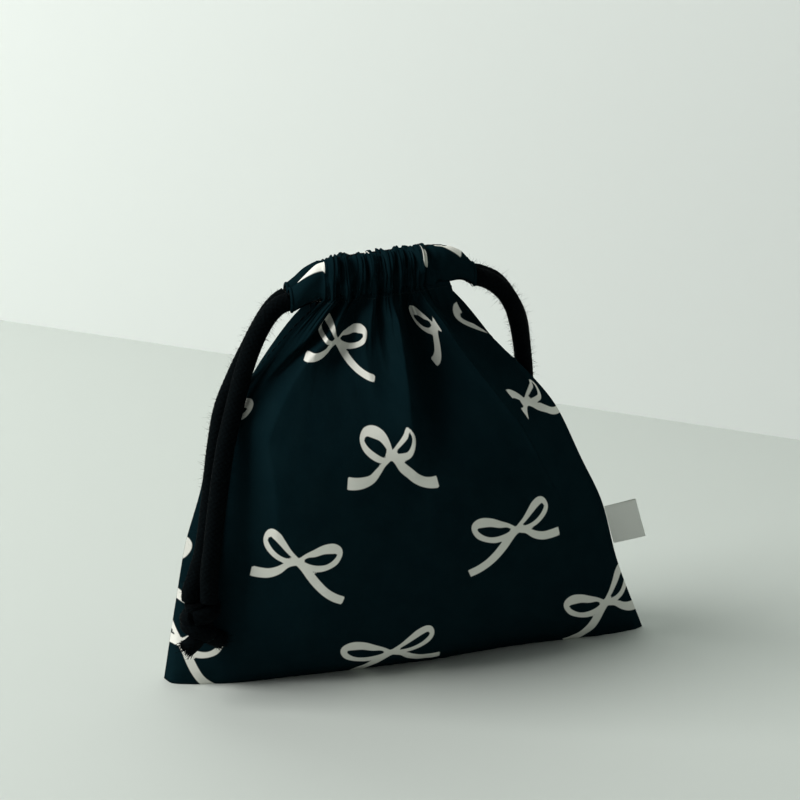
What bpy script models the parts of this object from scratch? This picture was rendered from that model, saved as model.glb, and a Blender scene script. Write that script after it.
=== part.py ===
# Drawstring pouch of printed cotton, standing with its neck drawn shut.
# Metres, +Z up, front of the pouch towards -Y, origin on the table under the middle of the bottom seam.

import math

import bmesh
import bpy
from mathutils import Vector

# Cloth bag
bag_width = 0.190           # across the bottom, corner to corner
stitch_height = 0.1445      # table to the line of stitches under the casing
cloth_thickness = 0.0009    # the doubled cloth of one wall
edge_thickness = 0.0013     # the wall measured across a seam edge
seam_gap = 0.0003           # between the two panels along their seams
foot_depth = 0.012          # from the bottom seam to the front or the back of the resting face
front_swell = 0.033         # the deepest part of the front, measured from the side seams
back_swell = 0.028
neck_lean = -0.012          # how far the neck stands left of the bag's middle
slit_height = 0.118         # where the side seams end and the slits begin
slit_opening = 0.0035       # how far each lip of a slit stands from the middle
shoulder_drop = 0.008       # how far the slit's lips sag below the stitch line

# Neck, measured from its own middle
sleeve_reach = 0.033        # to the open end of each sleeve
channel_reach = 0.0095      # how far the casing's inner wall runs
lip_setback = 0.004         # from the end of the inner wall to where a sleeve's top edge begins
neck_depth = 0.0021         # how far the casing bows out from its ends
strand_spread = 0.0039      # from the middle to a cord strand at a sleeve's end
gather_height = 0.0030      # how far the gathers stand out from the cords
taper_start = 0.0205        # where a sleeve begins to close in on its cord
left_droop = 0.0004         # how far each sleeve's end hangs below its lane
right_droop = 0.0060
mouth_flare = 0.0004        # how much a sleeve opens round its cord at the end
neck_tilt = 0.06            # rise of the casing from left to right, for each metre along it
draw_start = 0.55           # share of the wall's height above which the cloth draws in to the neck
draw_rate = 1.5
neck_squeeze = 0.04         # how much narrower the gathered wall is than its casing
casing_gather = 0.95        # the gathers' height on the casing, as a share of gather_height
top_share = 0.62            # how tall the gathers stay over the casing's top
hem_share = 0.5             # and on its underside
gather_power = 1.8          # how round the gathers' crests are
gather_pinch = 0.75         # how tall a gather is at the stitches
gather_release = 0.5        # share of a gather's run over which it comes up to its full height again

# Cords
cord_diameter = 0.0065
cord_clearance = 0.0003     # between the two cords
channel_clearance = 0.0007  # between a cord and the cloth round it
lane_step = cord_diameter + cord_clearance      # the two cords lie one above the other in the casing
channel_radius = cord_diameter / 2 + channel_clearance
stitch_angle = math.radians(50)                 # where the wall leaves the channel's round lower edge
lower_lane = stitch_height + channel_radius * math.sin(stitch_angle)
upper_lane = lower_lane + lane_step
bight_start = 0.0105        # from the neck's middle to where a cord turns round inside the far sleeve
bight_length = 0.0065
knot_gap = 0.0005
knot_height = 0.018
knot_width = 0.0140
knot_depth = 0.0125
tail_length = 0.0065        # out of the knot's middle
tail_width = 0.0060
tail_drop = 0.0035
tail_offset = 0.0015        # from the knot's middle to where a tail starts
tail_start = 0.2            # and how far below the middle, as a share of the knot's height
tail_flare = [(0, 0.9), (0.6, 1), (1, 1.15)]    # (share of its length, share of its width)
knot_wraps = 6
knot_relief = 0.07
knot_top = 0.86             # where the knot's rounded top is cut flat

# Label
label_width = 0.015         # along the seam
label_reach = 0.013         # out of the seam
label_thickness = 0.0008
label_height = 0.046        # its middle, above the table
label_step = 0.05           # share of the bag's height over which the seam's slope is read

# Shape of the bag between the table (0) and the stitch line (1)
width_curve = [(0, 1), (0.21, 0.875), (0.37, 0.795), (0.5, 0.69), (0.65, 0.575), (0.79, 0.385),
               (0.87, 0.255), (0.94, 0.13), (1, 0)]
lean_curve = [(0, 0), (0.22, 0.3), (0.4, 0.4), (0.65, 0.75), (0.85, 0.95), (1, 1)]
swell_curve = [(0, 0), (0.05, 0.30), (0.11, 0.52), (0.28, 0.86), (0.5, 1), (0.75, 0.86), (0.9, 0.55),
               (1, 0.3)]

# How square the bag's cross-section is at the table and at the stitch line, and how the foot bulges
squareness = (2.3, 2.8)
foot_bulge = 0.3
foot_power = 8

# Each panel: where the casing's gathers end, where the cloth leaves the casing, the gathers' crests,
# how tall each gather stands and how far down the wall it runs, and the wall's own folds.
# A fold follows a line of (share of the height, share of the half width) from its foot to its top, and
# falls away over its own distance to each side, sharply where its power is near 1. A valley has a
# height below zero.
front = {
    "side": -1,
    "swell": front_swell,
    "gathers": (-0.022, 0.015),
    "joined": (-0.0225, 0.024),
    "crests": [-0.0184, -0.0138, -0.0095, -0.0046, 0.0004, 0.0050, 0.0082, 0.0114],
    "heights": [0.9, 1.0, 0.85, 1.1, 1.0, 0.8, 0.95, 0.8],
    "runs": [0.10, 0.06, 0.05, 0.12, 0.16, 0.07, 0.05, 0.12],
    "folds": [
        {"line": [(0.54, -0.01), (0.72, 0.04), (0.80, 0.10), (0.89, 0.16), (1, 0.18)],
         "height": 0.0062, "left": 0.013, "right": 0.008, "power": 1.3},
        {"line": [(0.58, 0.13), (0.72, 0.19), (0.80, 0.27), (0.89, 0.36), (1, 0.40)],
         "height": -0.0046, "left": 0.008, "right": 0.012, "power": 1.6},
        {"line": [(0.24, 0.80), (0.47, 0.73), (0.62, 0.68), (0.76, 0.675), (0.90, 0.68), (1, 0.63)],
         "height": 0.0064, "left": 0.022, "right": 0.012, "power": 1.0},
        {"line": [(0.40, 0.88), (0.60, 0.83), (0.80, 0.83), (1, 0.80)],
         "height": -0.0032, "left": 0.007, "right": 0.007, "power": 1.6},
        {"line": [(0.28, -0.62), (0.42, -0.65), (0.55, -0.69), (0.68, -0.75), (0.77, -0.725), (0.86, -0.64),
                  (0.92, -0.52), (1, -0.46)],
         "height": 0.0050, "left": 0.007, "right": 0.018, "power": 1.2},
        {"line": [(0.68, -0.86), (0.77, -0.82), (0.86, -0.73), (0.92, -0.61), (1, -0.57)],
         "height": -0.0040, "left": 0.006, "right": 0.006, "power": 1.6},
        {"line": [(0.60, -0.93), (0.75, -0.90), (0.87, -0.80), (0.93, -0.70), (1, -0.66)],
         "height": 0.0036, "left": 0.006, "right": 0.006, "power": 1.3},
        {"line": [(0.78, -0.38), (0.90, -0.35), (1, -0.30)],
         "height": -0.0042, "left": 0.007, "right": 0.009, "power": 1.5},
        {"line": [(0.72, -0.13), (0.88, -0.16), (1, -0.12)],
         "height": 0.0034, "left": 0.009, "right": 0.008, "power": 1.4},
    ],
}
back = {
    "side": 1,
    "swell": back_swell,
    "gathers": (-0.020, 0.019),
    "joined": (-0.0225, 0.024),
    "crests": [-0.0172, -0.0122, -0.0078, -0.0028, 0.0020, 0.0068, 0.0112, 0.0160],
    "heights": [0.6, 0.8, 0.7, 0.85, 0.65, 0.8, 0.7, 0.6],
    "runs": [0.08, 0.14, 0.06, 0.18, 0.08, 0.05, 0.16, 0.07],
    "folds": [
        {"line": [(0.42, -0.37), (0.70, -0.33), (1, -0.30)],
         "height": 0.0052, "left": 0.010, "right": 0.017, "power": 1.3},
        {"line": [(0.55, 0.04), (1, 0.08)],
         "height": -0.0044, "left": 0.010, "right": 0.011, "power": 1.6},
        {"line": [(0.38, 0.56), (0.70, 0.47), (1, 0.40)],
         "height": 0.0056, "left": 0.018, "right": 0.010, "power": 1.1},
        {"line": [(0.48, -0.71), (1, -0.66)],
         "height": 0.0034, "left": 0.011, "right": 0.011, "power": 1.4},
        {"line": [(0.40, 0.80), (0.80, 0.76), (1, 0.74)],
         "height": -0.0032, "left": 0.008, "right": 0.009, "power": 1.6},
    ],
}
fold_spread = 1.8       # how much wider a fold is at its foot than at its top
fold_fade = 0.45        # share of its length over which a fold rises from its foot
fold_tuck = 0.15        # and over which it flattens into the stitches
seam_power = 8          # how suddenly the folds die out at the side seams
rim_power = 16          # how suddenly the wall turns into its seam edge
neck_share = 0.90       # share of the half width that is drawn up in the casing; the rest is the sleeve

# Rows of the mesh: heights on the wall, and stations round the casing
wall_rows = [0, 0.02, 0.06, 0.12, 0.19, 0.27, 0.36, 0.45, 0.54, 0.63, 0.71, 0.78, 0.84, 0.89, 0.93, 0.965]
sleeve_columns = 5
column_places = (0.45, 0.55)        # from a valley to a crest, and from the crest to the next valley
column_margin = 0.004               # share of the half width kept free of gather columns by a sleeve
lower_arc = [-math.degrees(stitch_angle), 0]
upper_arc = [0, 35, 65, 90]
inner_upper_arc = [115, 150, 180]
inner_lower_arc = [180, 225, 270, 292]
top_station = len(lower_arc) + len(upper_arc) - 1
tail_sides = 8
fold_sides = 4                      # flat strips round the label's folded end
sharp_edge = math.radians(60)
curve_steps = 20                    # fine steps between two chosen points of a cord
tiny = 1e-9

# The drawcords' four strands between their knots and the casing, as chosen points of smooth curves
left_front_strand = [
    (-0.0788, -0.0168, 0.0368), (-0.0786, -0.0168, 0.0400), (-0.0768, -0.0142, 0.0480),
    (-0.0748, -0.0137, 0.0570), (-0.0732, -0.0128, 0.0680), (-0.0712, -0.0121, 0.0820),
    (-0.0691, -0.0115, 0.0945), (-0.0664, -0.0096, 0.1060), (-0.0629, -0.0080, 0.1180),
    (-0.0588, -0.0072, 0.1290), (-0.0540, -0.0058, 0.1377), (-0.0494, -0.0042, 0.1427),
]
left_back_strand = [
    (-0.0850, -0.0136, 0.0368), (-0.0848, -0.0136, 0.0400), (-0.0838, -0.0112, 0.0450),
    (-0.0812, -0.0092, 0.0540), (-0.0790, -0.0076, 0.0660), (-0.0765, -0.0064, 0.0800),
    (-0.0740, -0.0061, 0.0920), (-0.0699, -0.0037, 0.1045), (-0.0642, -0.0006, 0.1160),
    (-0.0584, 0.0010, 0.1270), (-0.0530, 0.0024, 0.1360), (-0.0486, 0.0036, 0.1422),
]
right_front_strand = [
    (0.0530, 0.0255, 0.0368), (0.0530, 0.0255, 0.0400), (0.0524, 0.0226, 0.0480),
    (0.0515, 0.0200, 0.0600), (0.0505, 0.0180, 0.0730), (0.0493, 0.0155, 0.0850),
    (0.0478, 0.0127, 0.0960), (0.0461, 0.0100, 0.1070), (0.0440, 0.0070, 0.1170),
    (0.0412, 0.0038, 0.1270), (0.0375, 0.0006, 0.1360), (0.0325, -0.0020, 0.1432),
    (0.0265, -0.0034, 0.1478),
]
right_back_strand = [
    (0.0466, 0.0255, 0.0368), (0.0466, 0.0255, 0.0400), (0.0460, 0.0234, 0.0480),
    (0.0452, 0.0233, 0.0580), (0.0446, 0.0223, 0.0690), (0.0446, 0.0206, 0.0800),
    (0.0450, 0.0180, 0.0930), (0.0452, 0.0154, 0.1060), (0.0442, 0.0142, 0.1170),
    (0.0420, 0.0122, 0.1280), (0.0380, 0.0094, 0.1380), (0.0326, 0.0068, 0.1447),
    (0.0262, 0.0050, 0.1484),
]
run_steps = 6           # chosen points along each side of the casing
cord_points = 70        # along each cord's smooth curve

half_width = bag_width / 2
half_seam = seam_gap / 2


def curve_value(curve, x):
    """Height of a smooth curve through the given points, without overshoot between them."""
    last = len(curve) - 1
    x = min(max(x, curve[0][0]), curve[last][0])
    i = max(k for k in range(last) if curve[k][0] <= x)
    steps = [(curve[k + 1][1] - curve[k][1]) / (curve[k + 1][0] - curve[k][0]) for k in range(last)]

    def slope(k):
        if k in (0, last):
            return steps[0] if k == 0 else steps[last - 1]
        if steps[k - 1] * steps[k] <= 0:
            return 0
        return 2 * steps[k - 1] * steps[k] / (steps[k - 1] + steps[k])

    span = curve[i + 1][0] - curve[i][0]
    s = (x - curve[i][0]) / span
    return (
        (1 + 2 * s) * (1 - s) ** 2 * curve[i][1]
        + s * (1 - s) ** 2 * span * slope(i)
        + s * s * (3 - 2 * s) * curve[i + 1][1]
        + s * s * (s - 1) * span * slope(i + 1)
    )


def ease(x):
    """Smooth step from 0 at x = 0 to 1 at x = 1."""
    x = min(max(x, 0), 1)
    return x * x * (3 - 2 * x)


def mix(a, b, share):
    return a + (b - a) * share


def neck_x(panel, t):
    """Place along the neck, from its middle, of the cloth at share t of the half width."""
    high = panel["gathers"][1]
    left, right = panel["joined"]
    if t < -neck_share:
        return mix(left, -sleeve_reach, (-t - neck_share) / (1 - neck_share))
    gathered_end = gathered_share(panel)
    if t > neck_share:
        return mix(right, sleeve_reach, (t - neck_share) / (1 - neck_share))
    if t > gathered_end:
        return mix(high, right, (t - gathered_end) / (neck_share - gathered_end))
    return mix(left, high, (t + neck_share) / (gathered_end + neck_share))


def gathered_share(panel):
    """Share of the half width at which the gathers give way to the smooth part of the right sleeve."""
    high = panel["gathers"][1]
    right = panel["joined"][1]
    return neck_share - (right - high) / half_width


def neck_share_at(panel, x):
    """Share of the half width of the cloth that lies at x in the gathers."""
    left = panel["joined"][0]
    high = panel["gathers"][1]
    return mix(-neck_share, gathered_share(panel), (x - left) / (high - left))


def valleys(panel):
    """Places between neighbouring gathers, with the ends of the gathered stretch."""
    crests = panel["crests"]
    between = [(a + b) / 2 for a, b in zip(crests, crests[1:])]
    return [panel["gathers"][0]] + between + [panel["gathers"][1]]


def gather_wave(panel, x):
    """Height of the gathers at x, 0 in a valley and 1 on a full crest, with the gather's own run."""
    low = valleys(panel)
    for k, crest in enumerate(panel["crests"]):
        if low[k] <= x <= low[k + 1]:
            reach = crest - low[k] if x < crest else low[k + 1] - crest
            return panel["heights"][k] * (1 - (abs(x - crest) / reach) ** gather_power), panel["runs"][k]
    return 0, panel["runs"][0]


def casing_centre(x):
    """Distance of the casing's cords from the middle plane, at x from the neck's middle."""
    share = min(abs(x) / sleeve_reach, 1)
    return strand_spread + neck_depth * math.sqrt(1 - share * share)


def taper(x):
    """How far a sleeve has closed in at x: 0 where it starts to, 1 at its open end."""
    return max(abs(x) - taper_start, 0) / (sleeve_reach - taper_start)


def lanes(x):
    """Heights of the lowest and the highest cord centre inside the casing at x."""
    out = taper(x)
    lift = neck_tilt * x - (left_droop if x < 0 else right_droop) * out * out
    if x < 0:
        return lower_lane + lift, mix(upper_lane, lower_lane, ease(out)) + lift
    return mix(lower_lane, upper_lane, ease(out)) + lift, upper_lane + lift


def fold_height(panel, t, v):
    """How far the wall's folds push it outwards at share t of the half width and v of the height."""
    total = 0
    for fold in panel["folds"]:
        line = fold["line"]
        foot, top = line[0][0], line[-1][0]
        if v < foot:
            continue
        up = (v - foot) / (top - foot)
        away = (t - curve_value(line, v)) * half_width
        width = fold["left" if away < 0 else "right"] * mix(fold_spread, 1, up)
        strength = ease(up / fold_fade) * ease((1 - up) / fold_tuck)
        total += fold["height"] * strength * math.exp(-(abs(away) / width) ** fold["power"])
    return total


def wall_point(panel, t, v):
    """Point on the outer face of the wall, t from -1 to 1 across and v from 0 to 1 up."""
    side = panel["side"]
    neck = ease((v - draw_start) / (1 - draw_start)) ** draw_rate
    left, right = panel["joined"]
    neck_half = (right - left) / 2
    neck_mid = neck_lean + (right + left) / 2
    half = mix(neck_half, half_width, curve_value(width_curve, v))
    middle = neck_mid * curve_value(lean_curve, v)
    along = min(max(neck_x(panel, t), left), right) - (right + left) / 2
    edge = max(abs(t) - neck_share, 0) / (1 - neck_share)
    drawn = along / neck_half * (1 - neck_squeeze * (1 - edge))
    x = middle + half * mix(t, drawn, neck)
    z = stitch_height * v + (neck_tilt * neck_x(panel, t) - shoulder_drop * edge) * neck

    bulge = 1 + foot_bulge * (1 - v) ** foot_power
    swell = foot_depth + (panel["swell"] - foot_depth) * curve_value(swell_curve, v) * bulge
    bow = 1 - abs(t) ** mix(*squareness, v)
    open_slit = slit_opening * ease((z - slit_height) / (stitch_height - slit_height))
    depth = swell * bow + open_slit * (1 - bow)
    casing_depth = casing_centre(neck_x(panel, t)) + channel_radius * math.cos(stitch_angle) + cloth_thickness
    neck_wall = mix(casing_depth, slit_opening, ease(edge))
    depth = mix(depth, neck_wall, neck)
    wave, run = gather_wave(panel, neck_x(panel, t))
    below = (1 - v) / run
    release = mix(gather_pinch, 1, ease(below / gather_release))
    depth += gather_height * wave * release * math.exp(-below * below)
    depth += fold_height(panel, t, v) * (1 - abs(t) ** seam_power)
    if v == 0:
        depth = foot_depth * (1 - abs(t) ** squareness[0])
    return Vector((x, side * (half_seam + depth), z))


def casing_section(panel, x):
    """Stations round the channel from the stitch line: distance from the middle, height, outward way."""
    centre = casing_centre(x)
    low, high = lanes(x)
    radius = channel_radius + mouth_flare * taper(x) ** 2
    stations = []

    def arc(middle_height, degrees):
        a = math.radians(degrees)
        stations.append((
            centre + radius * math.cos(a),
            middle_height + radius * math.sin(a),
            (math.cos(a), math.sin(a)),
        ))

    for degrees in lower_arc:
        arc(low, degrees)
    for degrees in upper_arc:
        arc(high, degrees)
    if abs(x) <= channel_reach:
        for degrees in inner_upper_arc:
            arc(high, degrees)
        for degrees in inner_lower_arc:
            arc(low, degrees)
    return stations


def sleeve_lips(x):
    """Inner edges of a sleeve, over and under the cord, as sections like those of the casing."""
    centre = casing_centre(x)
    low, high = lanes(x)
    radius = channel_radius + mouth_flare * taper(x) ** 2
    over = [(half_seam, high + radius, (0, 1))]
    under = [(centre, low - radius, (0, -1)), (half_seam, low - radius, (0, -1))]
    return over, under


def gather_share_at(direction):
    """The gathers stand tallest on the outer face and lie flat against the hem inside."""
    outward, upward = direction
    return mix(top_share if upward >= 0 else hem_share, 1, outward)


def columns(panel):
    """Shares of the half width at which the mesh has a column, with four to each gather."""
    low = valleys(panel)
    places = []
    for k, crest in enumerate(panel["crests"]):
        rising = mix(low[k], crest, column_places[0])
        falling = mix(crest, low[k + 1], column_places[1])
        places += [low[k], rising, crest, falling]
    places.append(low[-1])
    shares = [neck_share_at(panel, x) for x in places]
    left = [mix(-1, -neck_share, k / sleeve_columns) for k in range(sleeve_columns)]
    right = [mix(neck_share, 1, k / sleeve_columns) for k in range(sleeve_columns + 1)]
    shares = [t for t in shares if abs(t) < neck_share - column_margin]
    return left + [-neck_share] + shares + right


def build_panel(name, panel, material):
    """One wall of the bag with its casing: an outer and an inner skin joined round every free edge."""
    side = panel["side"]
    across = columns(panel)
    points = {}
    faces = []

    def add(key, outer, inner):
        points[key] = (outer, inner)

    for i, t in enumerate(across):
        for j, v in enumerate(wall_rows + [1]):
            joined = abs(t) <= neck_share + tiny
            if v == 1 and joined:
                continue
            outer = wall_point(panel, t, v)
            rim = abs(t) ** rim_power
            inner = outer.copy()
            inner.x -= math.copysign(edge_thickness * rim, t)
            inner.y -= side * cloth_thickness * (1 - rim)
            if j == 0:
                outer.z = 0
                inner.z = cloth_thickness
                inner.x -= math.copysign(edge_thickness * rim, t)
            add(("wall", i, j), outer, inner)
        if 0 < i < len(across) - 1:
            foot = points[("wall", i, 0)][0]
            outer = Vector((foot.x, side * half_seam, 0))
            add(("foot", i), outer, outer + Vector((0, 0, cloth_thickness)))

        x = neck_x(panel, t)
        wave = gather_wave(panel, x)[0]
        section = casing_section(panel, x)
        over, under = sleeve_lips(x)

        def casing_point(station):
            distance, height, direction = station
            lift = gather_height * wave * gather_share_at(direction) * casing_gather
            base = Vector((neck_lean + x, side * distance, height))
            out = Vector((0, side * direction[0], direction[1]))
            return base + out * (lift + cloth_thickness), base + out * lift

        for k, station in enumerate(section):
            add(("casing", i, k), *casing_point(station))
        if abs(x) > channel_reach + lip_setback:
            add(("over", i), *casing_point(over[0]))
        if abs(t) >= neck_share - tiny:
            for k, station in enumerate(under):
                add(("under", i, k), *casing_point(station))

    top_row = len(wall_rows)
    last = len(across) - 1
    stations = len(casing_section(panel, 0))

    def quad(*keys):
        if all(key in points for key in keys):
            faces.append(keys)

    for i in range(last):
        first_corner = ("foot", i) if i > 0 else ("wall", i, 0)
        second_corner = ("foot", i + 1) if i + 1 < last else ("wall", i + 1, 0)
        base = [first_corner, second_corner, ("wall", i + 1, 0), ("wall", i, 0)]
        base = [key for n, key in enumerate(base) if key not in base[:n]]
        faces.append(tuple(base))
        for j in range(top_row - 1):
            quad(("wall", i, j), ("wall", i + 1, j), ("wall", i + 1, j + 1), ("wall", i, j + 1))
        top = []
        for n in (i + 1, i):
            joined = abs(across[n]) <= neck_share + tiny
            top.append(("casing", n, 0) if joined else ("wall", n, top_row))
        faces.append((("wall", i, top_row - 1), ("wall", i + 1, top_row - 1), top[0], top[1]))
        for k in range(stations - 1):
            quad(("casing", i, k), ("casing", i + 1, k), ("casing", i + 1, k + 1), ("casing", i, k + 1))
        quad(("casing", i, top_station), ("casing", i + 1, top_station), ("over", i + 1), ("over", i))
        quad(("under", i, 1), ("under", i + 1, 1), ("under", i + 1, 0), ("under", i, 0))
        quad(("under", i, 0), ("under", i + 1, 0), ("casing", i + 1, 0), ("casing", i, 0))

    mesh = bmesh.new()
    skins = [{}, {}]
    for key, pair in points.items():
        for skin, place in zip(skins, pair):
            skin[key] = mesh.verts.new(place)
    edges = {}
    for face in faces:
        mesh.faces.new([skins[0][key] for key in face])
        mesh.faces.new([skins[1][key] for key in reversed(face)])
        for a, b in zip(face, face[1:] + face[:1]):
            edges[(a, b)] = edges.get((a, b), 0) + 1
    for a, b in edges:
        if (b, a) not in edges:
            mesh.faces.new((skins[0][b], skins[0][a], skins[1][a], skins[1][b]))
    bmesh.ops.recalc_face_normals(mesh, faces=mesh.faces)
    return finish_mesh(name, mesh, material)


def finish_mesh(name, mesh, material):
    data = bpy.data.meshes.new(name)
    mesh.to_mesh(data)
    mesh.free()
    data.shade_smooth()
    data.set_sharp_from_angle(angle=sharp_edge)
    data.materials.append(material)
    piece = bpy.data.objects.new(name, data)
    bpy.context.scene.collection.objects.link(piece)
    return piece


def make_material(name, colour, roughness):
    material = bpy.data.materials.new(name)
    material.use_nodes = True
    shader = material.node_tree.nodes["Principled BSDF"]
    shader.inputs["Base Color"].default_value = (*colour, 1)
    shader.inputs["Roughness"].default_value = roughness
    shader.inputs["Metallic"].default_value = 0
    material.diffuse_color = (*colour, 1)
    return material


def smooth_route(route, count):
    """Evenly spaced points on a smooth curve through the chosen ones."""
    points = [Vector(p) for p in route]
    ends = [points[0] * 2 - points[1]] + points + [points[-1] * 2 - points[-2]]
    fine = []
    for k in range(1, len(ends) - 2):
        a, b, c, d = ends[k - 1:k + 3]
        for n in range(curve_steps):
            s = n / curve_steps
            fine.append(0.5 * (2 * b + (c - a) * s + (2 * a - 5 * b + 4 * c - d) * s * s
                               + (3 * b - a - 3 * c + d) * s ** 3))
    fine.append(points[-1])
    lengths = [0]
    for a, b in zip(fine, fine[1:]):
        lengths.append(lengths[-1] + (b - a).length)
    spaced = []
    k = 0
    for n in range(count):
        target = lengths[-1] * n / (count - 1)
        while k < len(fine) - 2 and lengths[k + 1] < target:
            k += 1
        share = (target - lengths[k]) / (lengths[k + 1] - lengths[k])
        spaced.append(fine[k].lerp(fine[k + 1], min(share, 1)))
    return spaced


def casing_run(mouth, first_side):
    """A cord's way in at one mouth (-1 left, 1 right), round in the far sleeve and out at the same mouth."""
    turn_start = -mouth * bight_start
    lane = 0 if mouth < 0 else 1
    one_side = []
    for n in range(run_steps + 1):
        x = mix(mouth * sleeve_reach, turn_start, n / run_steps)
        one_side.append((x, casing_centre(x)))
    for degrees in (30, 60):
        a = math.radians(degrees)
        across = casing_centre(turn_start) * math.cos(a)
        one_side.append((turn_start - mouth * bight_length * math.sin(a), across))
    end = (turn_start - mouth * bight_length, 0)
    run = []
    for side, places in ((first_side, one_side), (0, [end]), (-first_side, reversed(one_side))):
        run += [(neck_lean + x, side * y, lanes(x)[lane]) for x, y in places]
    return run


def build_cord(name, route, material):
    data = bpy.data.curves.new(name, "CURVE")
    data.dimensions = "3D"
    data.bevel_depth = cord_diameter / 2
    data.bevel_resolution = 2
    data.use_fill_caps = True
    line = data.splines.new("POLY")
    places = smooth_route(route, cord_points)
    line.points.add(len(places) - 1)
    for point, place in zip(line.points, places):
        point.co = (*place, 1)
    data.materials.append(material)
    piece = bpy.data.objects.new(name, data)
    bpy.context.scene.collection.objects.link(piece)
    return piece


def build_knot(name, route, material):
    """Overhand knot of both strands with two short frayed tails, hanging straight below the strands."""
    top = (Vector(route[0]) + Vector(route[-1])) / 2
    centre = top - Vector((0, 0, knot_height / 2 + knot_gap))
    mesh = bmesh.new()
    bmesh.ops.create_icosphere(mesh, subdivisions=3, radius=1)
    for vert in mesh.verts:
        p = vert.co.normalized()
        wrap = math.cos(knot_wraps * math.asin(p.z) + math.atan2(p.y, p.x))
        swell = 1 + knot_relief * wrap * (1 - p.z * p.z)
        flat = min(p.z, knot_top) / knot_top
        vert.co = centre + Vector((
            p.x * swell * knot_width / 2,
            p.y * swell * knot_depth / 2,
            flat * knot_height / 2,
        ))
    piece = finish_mesh(name, mesh, material)
    for sign, word in ((-1, "left"), (1, "right")):
        start = centre + Vector((sign * tail_offset, 0, -knot_height * tail_start))
        end = start + Vector((sign * tail_length, 0, -tail_drop))
        tail = build_tail(f"{name}_{word}_tail", start, end, material)
        join = piece.modifiers.new(f"{word}_tail", "BOOLEAN")
        join.operation = "UNION"
        join.object = tail
    return piece


def build_tail(name, start, end, material):
    """Cut end of a cord, opening out a little where it frays."""
    axis = (end - start).normalized()
    side = axis.cross(Vector((0, 1, 0))).normalized()
    across = side.cross(axis)
    mesh = bmesh.new()
    rings = []
    for share, flare in tail_flare:
        ring = []
        for n in range(tail_sides):
            a = math.tau * n / tail_sides
            spoke = (side * math.cos(a) + across * math.sin(a)) * tail_width / 2 * flare
            ring.append(mesh.verts.new(start.lerp(end, share) + spoke))
        rings.append(ring)
    for a, b in zip(rings, rings[1:]):
        for n in range(tail_sides):
            m = (n + 1) % tail_sides
            mesh.faces.new((a[n], a[m], b[m], b[n]))
    mesh.faces.new(list(reversed(rings[0])))
    mesh.faces.new(rings[-1])
    bmesh.ops.recalc_face_normals(mesh, faces=mesh.faces)
    tail = finish_mesh(name, mesh, material)
    tail.hide_render = True
    tail.hide_set(True)
    tail.display_type = "WIRE"
    return tail


def build_label(name, material):
    """Folded tab sewn in the right side seam."""
    v = label_height / stitch_height
    root = wall_point(front, 1, v)
    above = wall_point(front, 1, v + label_step)
    along = Vector((above.x - root.x, 0, above.z - root.z)).normalized()
    out = Vector((along.z, 0, -along.x))
    start = Vector((root.x, 0, root.z)) + out * seam_gap
    mesh = bmesh.new()
    outline = []
    r = label_thickness / 2
    outline.append((0, -r))
    outline.append((0, r))
    for n in range(fold_sides + 1):
        a = math.pi / 2 - math.pi * n / fold_sides
        outline.append((label_reach - r + r * math.cos(a), r * math.sin(a)))
    ends = []
    for lift in (-label_width / 2, label_width / 2):
        ends.append([mesh.verts.new(start + out * reach + along * lift + Vector((0, depth, 0)))
                     for reach, depth in outline])
    count = len(outline)
    for n in range(count):
        m = (n + 1) % count
        mesh.faces.new((ends[0][n], ends[0][m], ends[1][m], ends[1][n]))
    mesh.faces.new(list(reversed(ends[0])))
    mesh.faces.new(ends[1])
    bmesh.ops.recalc_face_normals(mesh, faces=mesh.faces)
    return finish_mesh(name, mesh, material)


def main():
    for thing in list(bpy.data.objects):
        bpy.data.objects.remove(thing, do_unlink=True)
    cloth = make_material("navy_cotton", (0.006, 0.016, 0.021), 0.75)
    cord = make_material("black_cord", (0.006, 0.007, 0.009), 0.9)
    tape = make_material("label_tape", (0.62, 0.62, 0.60), 0.7)
    build_panel("front_panel", front, cloth)
    build_panel("back_panel", back, cloth)
    build_label("side_label", tape)
    left_route = left_front_strand + casing_run(-1, -1) + left_back_strand[::-1]
    right_route = right_back_strand + casing_run(1, 1) + right_front_strand[::-1]
    build_cord("left_drawcord", left_route, cord)
    build_cord("right_drawcord", right_route, cord)
    build_knot("left_cord_knot", left_route, cord)
    build_knot("right_cord_knot", right_route, cord)


main()
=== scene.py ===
import math

import bpy
import numpy as np
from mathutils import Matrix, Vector, noise


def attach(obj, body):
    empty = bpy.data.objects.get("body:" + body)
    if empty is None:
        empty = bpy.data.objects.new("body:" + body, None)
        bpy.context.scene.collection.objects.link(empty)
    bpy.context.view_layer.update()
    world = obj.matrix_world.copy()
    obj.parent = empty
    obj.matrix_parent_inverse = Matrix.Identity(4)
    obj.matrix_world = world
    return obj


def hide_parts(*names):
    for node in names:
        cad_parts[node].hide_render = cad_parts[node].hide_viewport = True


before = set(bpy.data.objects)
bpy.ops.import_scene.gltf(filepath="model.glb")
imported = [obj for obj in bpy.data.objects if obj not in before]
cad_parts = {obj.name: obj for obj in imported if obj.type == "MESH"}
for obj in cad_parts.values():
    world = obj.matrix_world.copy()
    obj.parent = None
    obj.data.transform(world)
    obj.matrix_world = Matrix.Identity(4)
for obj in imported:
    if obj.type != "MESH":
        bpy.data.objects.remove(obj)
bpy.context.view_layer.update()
scene = bpy.context.scene

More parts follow.
